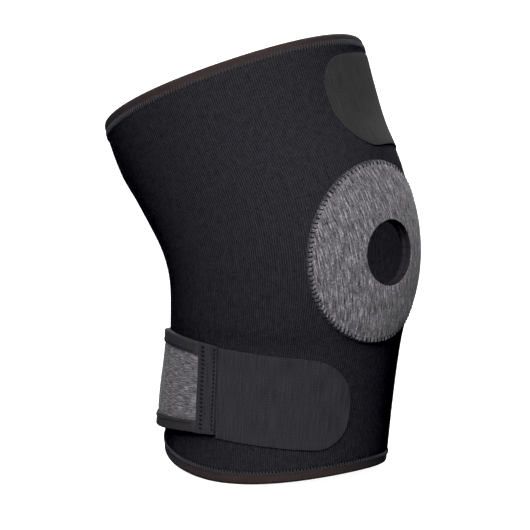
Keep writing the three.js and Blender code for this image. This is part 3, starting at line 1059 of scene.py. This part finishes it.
def add_stage():
    """Pale floor that runs up into a pale wall all round."""
    material = node_material(
        "stage_white", Base_Color=STAGE["colour"], Roughness=1.0, Specular_IOR_Level=0.0,
        Emission_Color=(1, 1, 1, 1), Emission_Strength=STAGE["glow"],
    )
    floor, sides = CAD_BOX[0].z, STAGE["sides"]
    turns = 2 * np.pi * np.arange(sides) / sides
    points = [(out * math.cos(t), out * math.sin(t), floor + up) for out, up in STAGE_PROFILE for t in turns]
    faces = [list(range(sides))]
    for here in range(0, len(points) - sides, sides):
        for k in range(sides):
            after = (k + 1) % sides
            faces.append([here + k, here + after, here + sides + after, here + sides + k])
    mesh = bpy.data.meshes.new("stage")
    mesh.from_pydata(points, [], faces)
    mesh.materials.append(material)
    stage = add_to_scene("stage", mesh)
    stage.visible_diffuse = False
    stage.visible_glossy = False
    stage.visible_shadow = False


def add_camera():
    turn, tilt = math.radians(CAMERA_AZIMUTH), math.radians(CAMERA_ELEVATION)
    back = np.array([math.sin(turn) * math.cos(tilt), -math.cos(turn) * math.cos(tilt), math.sin(tilt)])
    right = np.array([math.cos(turn), math.sin(turn), 0])
    up = np.cross(back, right)
    data = bpy.data.cameras.new("camera")
    data.sensor_width = SENSOR_MM
    data.lens = SENSOR_MM * CAMERA_DISTANCE / (MM_PER_PIXEL * IMAGE_PIXELS)
    axes = np.eye(4)
    axes[:3, :3] = np.stack([right, up, back], 1)
    axes[:3, 3] = (right * CAMERA_SIDEWAYS + up * CAMERA_RISE + back * CAMERA_DISTANCE) * MM
    camera = add_to_scene("camera", data)
    camera.matrix_world = Matrix(axes.tolist())
    bpy.context.scene.camera = camera


def add_sun(name, sideways, rise, strength, softness):
    """Soft light from so many degrees to the camera's right and above it."""
    data = bpy.data.lights.new(name, "SUN")
    data.energy = strength
    data.angle = math.radians(softness)
    turn = math.radians(CAMERA_AZIMUTH + sideways)
    tilt = math.radians(CAMERA_ELEVATION + rise)
    add_to_scene(name, data).rotation_euler = (math.pi / 2 - tilt, 0, turn)


def add_inner_glow():
    """Faint light inside the sleeve, so that its lining shows through the kneecap opening."""
    data = bpy.data.lights.new("inner_glow", "POINT")
    data.energy = INNER_GLOW["power"]
    data.shadow_soft_size = INNER_GLOW["radius"]
    add_to_scene("inner_glow", data)


def add_sky():
    """Weak light from all round, more of it from above."""
    world = bpy.data.worlds.new("sky")
    world.use_nodes = True
    tree = world.node_tree
    direction = tree.nodes.new("ShaderNodeTexCoord").outputs["Generated"]
    split = tree.nodes.new("ShaderNodeSeparateXYZ")
    set_inputs(split, {"Vector": direction})
    ramp = tree.nodes.new("ShaderNodeMapRange")
    levels = {"From Min": -1, "To Min": SKY["below"], "To Max": SKY["above"]}
    set_inputs(ramp, {"Value": split.outputs["Z"], **levels})
    set_inputs(tree.nodes["Background"], {"Strength": ramp.outputs[0]})
    bpy.context.scene.world = world


def set_colours():
    """Plain tones with deep blacks, as the photograph has."""
    settings = bpy.context.scene.view_settings
    settings.view_transform = "Standard"
    settings.look = "None"
    settings.use_curve_mapping = True
    settings.curve_mapping.black_level = (BLACK_LEVEL,) * 3
    settings.curve_mapping.update()


# Rims: name, node, station of the edge, way out, and how far the stitches reach over the tape.
RIMS = (
    ("top_rim", "top_binding", upper_rim, 1, 2.6),
    ("bottom_rim", "bottom_binding", lower_rim, -1, 1.3),
)

# Bound edges of the lower strap: name, node, station and way out.
STRAP_EDGES = (
    ("strap_edge_high", "strap_binding_top", LOWER["high"], 1),
    ("strap_edge_low", "strap_binding_bottom", LOWER["low"], -1),
)

KNIT = knit_cloth("charcoal_knit", (0.0262, 0.026, 0.0305), ribbing=0.25)
LINING = knit_cloth("lining_knit", (0.07, 0.068, 0.078), ribbing=0.4)
FOAM = foam_edge()
HEATHER = heather_cloth("heather_pad", (0.17, 0.164, 0.178), **PAD_STRANDS)
# Darker copy of the pad's heather for its rounded outer edge: painted shade.
PAD_EDGE_PAINTED_SHADE = heather_cloth("heather_pad_edge_painted_shade", (0.09, 0.087, 0.094), **PAD_STRANDS)
LOOP = heather_cloth("heather_loops", (0.156, 0.15, 0.164), **LOOP_STRANDS)
HOOK = hook_cloth("hook_tape_back", (0.0325, 0.0325, 0.0365))
# The upper tab's hook tape is a copy of the lower tab's, a little lighter, which is painted light where the
# upper tab is lit more, and a little less blue.
UPPER_HOOK_PAINTED_LIGHTER = hook_cloth("upper_hook_tape_back_painted_lighter", (0.0335, 0.0335, 0.0348))
BROWN_TAPE = tape_cloth("brown_tape", (0.0425, 0.032, 0.031))
DARK_TAPE = tape_cloth("dark_tape", (0.0445, 0.04, 0.043))
BLACK_THREAD = thread_yarn("black_thread", (0.009, 0.009, 0.011))
SLATE_THREAD = thread_yarn("slate_thread", (0.042, 0.044, 0.052))
DARK_THREAD = thread_yarn("dark_thread", (0.02, 0.02, 0.023))

sleeve_piece(KNIT, FOAM, LINING)
for name, node, rim_at, direction, over in RIMS:
    rim_piece(f"{name}_tape", node, rim_at, direction, BROWN_TAPE)
for side, is_inside in (("outside", False), ("inside", True)):
    for name, node, rim_at, direction, over in RIMS:
        rim_stitches(f"{name}_stitches_{side}", rim_at, direction, over, is_inside, SLATE_THREAD)

ring_piece(HEATHER, FOAM, PAD_EDGE_PAINTED_SHADE)
ring_stitches(BLACK_THREAD)
ring_cord(SLATE_THREAD)

panel_piece(LOOP)
for name, node, edge, direction in STRAP_EDGES:
    strap_edge_piece(name, node, edge, direction, DARK_TAPE)
joint_piece(HOOK)
for name, row in JOINT_STITCHES.items():
    joint_stitches(name, row, BLACK_THREAD)
for name, node, edge, direction in STRAP_EDGES:
    strap_edge_stitches(f"{name}_stitches", edge, direction, DARK_THREAD)
sewn_end_stitches(
    "panel_end_stitches", LOWER, PANEL["end_margin"], 1, PANEL["face"],
    on_lower_strap, DARK_THREAD, "loop_fabric",
)
tab_piece("lower_tab_tape", "hook_tab", LOWER, LOWER_TAB, LOWER["joint_front"], HOOK)

tab_piece("upper_tab_tape", "upper_tab", UPPER, UPPER_TAB, UPPER["sewn_end"], UPPER_HOOK_PAINTED_LIGHTER)
sewn_end_stitches(
    "upper_strap_end_stitches", UPPER, 0, -1, TAB_GAP + TAB_THICK,
    as_given, DARK_THREAD, "hook_fabric",
)

add_stage()
add_camera()
add_sky()
for sun in SUNS:
    add_sun(*sun)
add_inner_glow()
set_colours()
